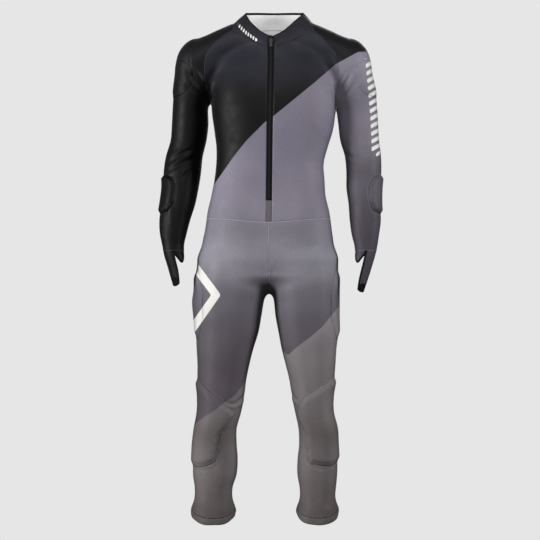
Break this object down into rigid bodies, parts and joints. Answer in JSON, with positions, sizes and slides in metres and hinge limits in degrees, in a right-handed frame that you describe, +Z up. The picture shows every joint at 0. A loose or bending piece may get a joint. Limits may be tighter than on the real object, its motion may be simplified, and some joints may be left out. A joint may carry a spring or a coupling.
{
  "type": "padded ski race suit",
  "caption": "Close-fitting one-piece padded race suit with raglan sleeves, front zip, stand collar, hand loops and cropped legs, standing out as worn.",
  "frame": {"origin": "middle of the neck's base, between the shoulders that carry the suit", "axes": "+Z up, the front faces -Y, +X is the wearer's left"},
  "size_m": [0.5953, 0.2457, 1.3621],
  "materials": {
    "black_print": "satin stretch knit",
    "grey_print": "satin stretch knit",
    "dark_grey_print": "satin stretch knit",
    "white_inside": "plain knit, unprinted side",
    "zip_tape": "woven tape with coil teeth",
    "slider_metal": "dark painted",
    "pull_rubber": "matte"
  },
  "bodies": {
    "root": {"front_right": "black_print", "front_left": "grey_print", "back": "black_print", "collar": "black_print", "collar_facing": "white_inside", "zip_tape": "zip_tape", "fly_strip": "dark_grey_print", "zip_slider": "slider_metal", "zip_pull": "pull_rubber", "sleeve_right": "black_print", "sleeve_left": "grey_print", "hand_tongue_right": "black_print", "hand_tongue_left": "grey_print", "palm_flap_right": "black_print", "palm_flap_left": "grey_print", "leg_front_right": "grey_print", "leg_back_right": "dark_grey_print", "leg_front_left": "grey_print", "leg_back_left": "dark_grey_print", "hem_band_right": "dark_grey_print", "hem_band_left": "dark_grey_print", "shoulder_pad_right": "black_print", "shoulder_pad_left": "black_print", "forearm_pad_right": "black_print", "forearm_pad_left": "black_print", "thigh_pad_right": "dark_grey_print", "thigh_pad_left": "dark_grey_print", "knee_pad_right": "dark_grey_print", "knee_pad_left": "dark_grey_print"}
  },
  "joints": []
}
